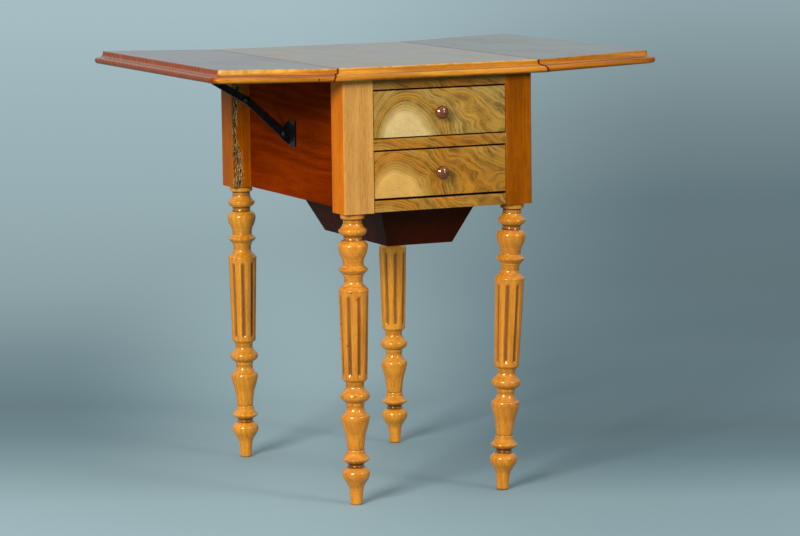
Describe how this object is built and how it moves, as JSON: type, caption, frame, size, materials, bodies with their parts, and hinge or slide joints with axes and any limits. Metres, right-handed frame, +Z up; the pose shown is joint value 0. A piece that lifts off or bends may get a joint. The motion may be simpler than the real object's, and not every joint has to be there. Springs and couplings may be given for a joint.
{
  "type": "drop leaf sewing table",
  "caption": "Drop-leaf work table on turned, fluted legs, with drawers and a tapered pull-out work well in the narrow front and iron folding stays under the leaves.",
  "frame": {"origin": "on the floor, at the centre of the table's footprint", "axes": "+Z up, the drawers open towards -Y, the leaves lie towards -X and +X"},
  "size_m": [0.8269, 0.5914, 0.7504],
  "materials": {
    "honey_wood": "glossy varnish",
    "veneer": "glossy varnish over figured veneer",
    "mahogany": "satin varnish",
    "dark_wood": "satin",
    "plain_wood": "bare",
    "knob_wood": "polished",
    "iron": "dark oxide"
  },
  "bodies": {
    "carcass": {"front_left_post": "honey_wood", "front_right_post": "honey_wood", "back_left_post": "honey_wood", "back_right_post": "honey_wood", "front_left_leg": "honey_wood", "front_right_leg": "honey_wood", "back_left_leg": "honey_wood", "back_right_leg": "honey_wood", "left_side_panel": "mahogany", "right_side_panel": "mahogany", "back_panel": "mahogany", "top_rail": "veneer", "mid_rail": "veneer", "drawer_runners": "plain_wood", "well_runners": "plain_wood", "top_battens": "plain_wood", "carcass_screws": "iron", "centre_top": "honey_wood", "hinge_fixed_flaps": "iron", "hinge_pins": "iron", "left_stay_bracket": "iron", "right_stay_bracket": "iron", "left_bracket_rivet": "iron", "right_bracket_rivet": "iron"},
    "left_leaf": {"left_leaf": "honey_wood", "left_hinge_flaps": "iron", "left_leaf_screws": "iron", "left_stay_plate": "iron", "left_plate_rivet": "iron"},
    "left_lower_link": {"left_lower_link": "iron", "left_knee_rivet": "iron"},
    "left_upper_link": {"left_upper_link": "iron"},
    "right_leaf": {"right_leaf": "honey_wood", "right_hinge_flaps": "iron", "right_leaf_screws": "iron", "right_stay_plate": "iron", "right_plate_rivet": "iron"},
    "right_lower_link": {"right_lower_link": "iron", "right_knee_rivet": "iron"},
    "right_upper_link": {"right_upper_link": "iron"},
    "upper_drawer": {"upper_drawer_front": "veneer", "upper_drawer_left_side": "plain_wood", "upper_drawer_right_side": "plain_wood", "upper_drawer_back": "plain_wood", "upper_drawer_bottom": "plain_wood", "upper_drawer_knob": "knob_wood"},
    "lower_drawer": {"lower_drawer_front": "veneer", "lower_drawer_left_side": "plain_wood", "lower_drawer_right_side": "plain_wood", "lower_drawer_back": "plain_wood", "lower_drawer_bottom": "plain_wood", "lower_drawer_knob": "knob_wood"},
    "well": {"well_front_strip": "veneer", "well_side_rails": "plain_wood", "well_cross_rails": "plain_wood", "well_front_board": "dark_wood", "well_back_board": "dark_wood", "well_left_board": "dark_wood", "well_right_board": "dark_wood", "well_bottom": "dark_wood"}
  },
  "joints": [
    {"name": "left_leaf_hinge", "type": "hinge", "parent": "carcass", "child": "left_leaf", "pos_m": [-0.186, 0, 0.7225], "axis": [0, -1, 0], "range_deg": [0, 91.6]},
    {"name": "left_lower_link_pivot", "type": "hinge", "parent": "carcass", "child": "left_lower_link", "pos_m": [-0.1525, 0, 0.608], "axis": [0, -1, 0], "range_deg": [-36.83, 0]},
    {"name": "left_upper_link_pivot", "type": "hinge", "parent": "left_leaf", "child": "left_upper_link", "pos_m": [-0.29628, 0, 0.71408], "axis": [0, -1, 0], "range_deg": [0, 26.37]},
    {"name": "right_leaf_hinge", "type": "hinge", "parent": "carcass", "child": "right_leaf", "pos_m": [0.186, 0, 0.7225], "axis": [0, 1, 0], "range_deg": [0, 92]},
    {"name": "right_lower_link_pivot", "type": "hinge", "parent": "carcass", "child": "right_lower_link", "pos_m": [0.1525, 0, 0.608], "axis": [0, 1, 0], "range_deg": [-39.75, 0]},
    {"name": "right_upper_link_pivot", "type": "hinge", "parent": "right_leaf", "child": "right_upper_link", "pos_m": [0.29284, 0, 0.71472], "axis": [0, 1, 0], "range_deg": [0, 11.99]},
    {"name": "upper_drawer_slide", "type": "slide", "parent": "carcass", "child": "upper_drawer", "axis": [0, -1, 0], "range_m": [0, 0.38]},
    {"name": "lower_drawer_slide", "type": "slide", "parent": "carcass", "child": "lower_drawer", "axis": [0, -1, 0], "range_m": [0, 0.38]},
    {"name": "well_slide", "type": "slide", "parent": "carcass", "child": "well", "axis": [0, -1, 0], "range_m": [0, 0.3]}
  ],
  "couplings": [
    {"joint": "left_lower_link_pivot", "follows": "left_leaf_hinge", "ratio": -0.40156},
    {"joint": "left_upper_link_pivot", "follows": "left_leaf_hinge", "ratio": 0.28732},
    {"joint": "right_lower_link_pivot", "follows": "right_leaf_hinge", "ratio": -0.43156},
    {"joint": "right_upper_link_pivot", "follows": "right_leaf_hinge", "ratio": 0.12981}
  ]
}
